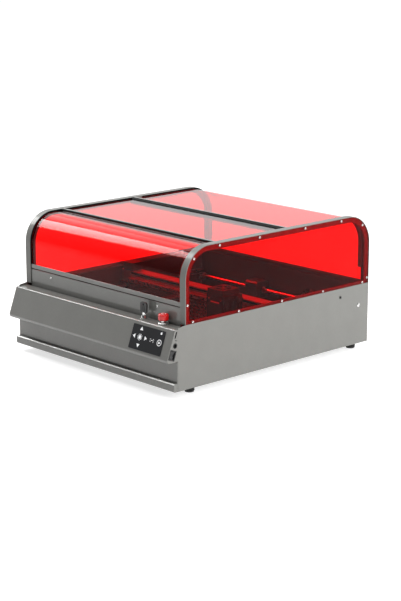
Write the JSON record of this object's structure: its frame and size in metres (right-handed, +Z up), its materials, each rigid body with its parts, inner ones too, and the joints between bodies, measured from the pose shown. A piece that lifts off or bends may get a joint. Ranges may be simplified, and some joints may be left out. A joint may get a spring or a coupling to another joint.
{
  "type": "desktop laser cutter",
  "caption": "Enclosed desktop laser cutter: belt-driven laser head over a slatted bed in a pull-out drawer, under a lifting red acrylic dome lid.",
  "frame": {"origin": "middle of the overall width and length, on the surface that the feet stand on", "axes": "+X to the right seen from the front, +Y to the back, +Z up"},
  "size_m": [0.5648, 0.6842, 0.33],
  "materials": {
    "grey_paint": "satin warm grey powder coat",
    "dark_sheet": "matt black powder coat",
    "red_acrylic": "polished transparent red acrylic",
    "pad_film": "satin printed film",
    "circuit_board": "green solder mask",
    "black_plastic": "matt moulded",
    "gloss_black_plastic": "gloss",
    "red_plastic": "gloss",
    "bright_metal": "plated",
    "pale_metal": "satin",
    "pale_aluminium": "clear anodised",
    "black_aluminium": "black anodised",
    "steel": "ground",
    "motor_black": "satin",
    "belt_rubber": "matt",
    "foot_rubber": "matt"
  },
  "bodies": {
    "casing": {"base_pan": "dark_sheet", "side_panel_left": "grey_paint", "side_panel_right": "grey_paint", "rear_panel": "grey_paint", "front_panel": "grey_paint", "inner_walls": "dark_sheet", "arches": "grey_paint", "side_acrylics": "red_acrylic", "rear_acrylic": "red_acrylic", "rear_crossbar": "grey_paint", "console_shell": "grey_paint", "console_ends": "grey_paint", "control_pad": "pad_film", "main_board": "circuit_board", "ports": "black_plastic", "key_lock": "bright_metal", "estop_base": "pale_metal", "feet": "foot_rubber", "cover_screws": "bright_metal", "exhaust_spigot": "black_plastic", "exhaust_fan": "black_plastic", "hinge_leaf": "grey_paint", "drawer_channels": "steel", "y_guides": "black_aluminium", "y_rails": "steel", "y_brackets": "black_aluminium", "y_motor": "motor_black", "y_belts": "belt_rubber"},
    "lid": {"lid_acrylic_front": "red_acrylic", "lid_acrylic_top": "red_acrylic", "lid_crossbar": "grey_paint", "lid_lip": "grey_paint", "lid_hinge_bar": "grey_paint"},
    "drawer": {"drawer_front": "grey_paint", "drawer_tray": "dark_sheet", "drawer_runners": "steel", "bed_frame": "black_aluminium", "bed_slats": "steel"},
    "gantry": {"truck_plates": "black_aluminium", "y_blocks": "steel", "x_beam": "pale_aluminium", "x_rail": "steel", "x_motor": "motor_black", "x_belt": "belt_rubber"},
    "carriage": {"carriage_plate": "black_aluminium", "x_block": "steel"},
    "laser_head": {"laser_housing": "black_aluminium", "laser_nozzle": "pale_metal", "laser_fan": "black_plastic"},
    "laser_rotor": {"laser_rotor": "black_plastic"},
    "exhaust_rotor": {"exhaust_rotor": "black_plastic"},
    "y_shaft": {"y_shaft": "steel"},
    "y_idlers": {"y_idlers": "pale_metal"},
    "x_pulley": {"x_pulley": "pale_metal"},
    "x_idler": {"x_idler": "pale_metal"},
    "lock_knob": {"lock_knob": "black_plastic"},
    "key": {"key": "bright_metal"},
    "estop_stem": {"estop_stem": "pale_metal"},
    "estop_head": {"estop_head": "red_plastic"},
    "rocker": {"rocker": "gloss_black_plastic"}
  },
  "joints": [
    {"name": "lid_hinge", "type": "hinge", "parent": "casing", "child": "lid", "pos_m": [0, 0.03125, 0.326], "axis": [-1, 0, 0], "range_deg": [0, 92]},
    {"name": "drawer_slide", "type": "slide", "parent": "casing", "child": "drawer", "axis": [0, -1, 0], "range_m": [0, 0.4]},
    {"name": "gantry_slide", "type": "slide", "parent": "casing", "child": "gantry", "axis": [0, 1, 0], "range_m": [-0.21, 0.205]},
    {"name": "carriage_slide", "type": "slide", "parent": "gantry", "child": "carriage", "axis": [1, 0, 0], "range_m": [-0.345, 0.055]},
    {"name": "head_height", "type": "slide", "parent": "carriage", "child": "laser_head", "axis": [0, 0, 1], "range_m": [-0.012, 0.018]},
    {"name": "lock_knob_turn", "type": "hinge", "parent": "carriage", "child": "lock_knob", "pos_m": [0.177, -0.02875, 0.159], "axis": [1, 0, 0], "range_deg": [-360, 360]},
    {"name": "y_shaft_spin", "type": "hinge", "parent": "casing", "child": "y_shaft", "pos_m": [0, 0.25225, 0.1], "axis": [-1, 0, 0], "range_deg": [-1893.9, 1848.9]},
    {"name": "y_idlers_spin", "type": "hinge", "parent": "casing", "child": "y_idlers", "pos_m": [0, -0.26275, 0.1], "axis": [-1, 0, 0], "range_deg": [-1893.9, 1848.9]},
    {"name": "x_pulley_spin", "type": "hinge", "parent": "gantry", "child": "x_pulley", "pos_m": [-0.238, 0.01025, 0.147], "axis": [0, 0, 1], "range_deg": [-3108.1, 499.7]},
    {"name": "x_idler_spin", "type": "hinge", "parent": "gantry", "child": "x_idler", "pos_m": [0.238, 0.01025, 0.147], "axis": [0, 0, 1], "range_deg": [-3108.1, 499.7]},
    {"name": "exhaust_rotor_spin", "type": "hinge", "parent": "casing", "child": "exhaust_rotor", "pos_m": [0.12, 0.29225, 0.091], "axis": [0, 1, 0], "continuous": true},
    {"name": "laser_rotor_spin", "type": "hinge", "parent": "laser_head", "child": "laser_rotor", "pos_m": [0.145, -0.04495, 0.174], "axis": [0, 0, 1], "continuous": true},
    {"name": "key_turn", "type": "hinge", "parent": "casing", "child": "key", "pos_m": [0.158, -0.29975, 0.162], "axis": [0, 0, -1], "range_deg": [0, 90]},
    {"name": "estop_press", "type": "slide", "parent": "casing", "child": "estop_stem", "axis": [0, 0, -1], "range_m": [0, 0.004], "stiffness_N_per_m": 2000, "springref_m": -0.001},
    {"name": "estop_twist", "type": "hinge", "parent": "estop_stem", "child": "estop_head", "pos_m": [0.2216, -0.29895, 0.167], "axis": [0, 0, -1], "range_deg": [0, 45], "stiffness_Nm_per_rad": 0.05, "springref_deg": -5.73},
    {"name": "rocker_tip", "type": "hinge", "parent": "casing", "child": "rocker", "pos_m": [0.278, -0.32715, 0.1016], "axis": [0, 0.9398, -0.3416], "range_deg": [0, 12]}
  ],
  "couplings": [
    {"joint": "y_shaft_spin", "follows": "gantry_slide", "rad_per_m": 156.99},
    {"joint": "y_idlers_spin", "follows": "gantry_slide", "rad_per_m": 156.99},
    {"joint": "x_pulley_spin", "follows": "carriage_slide", "rad_per_m": 156.99},
    {"joint": "x_idler_spin", "follows": "carriage_slide", "rad_per_m": 156.99}
  ]
}
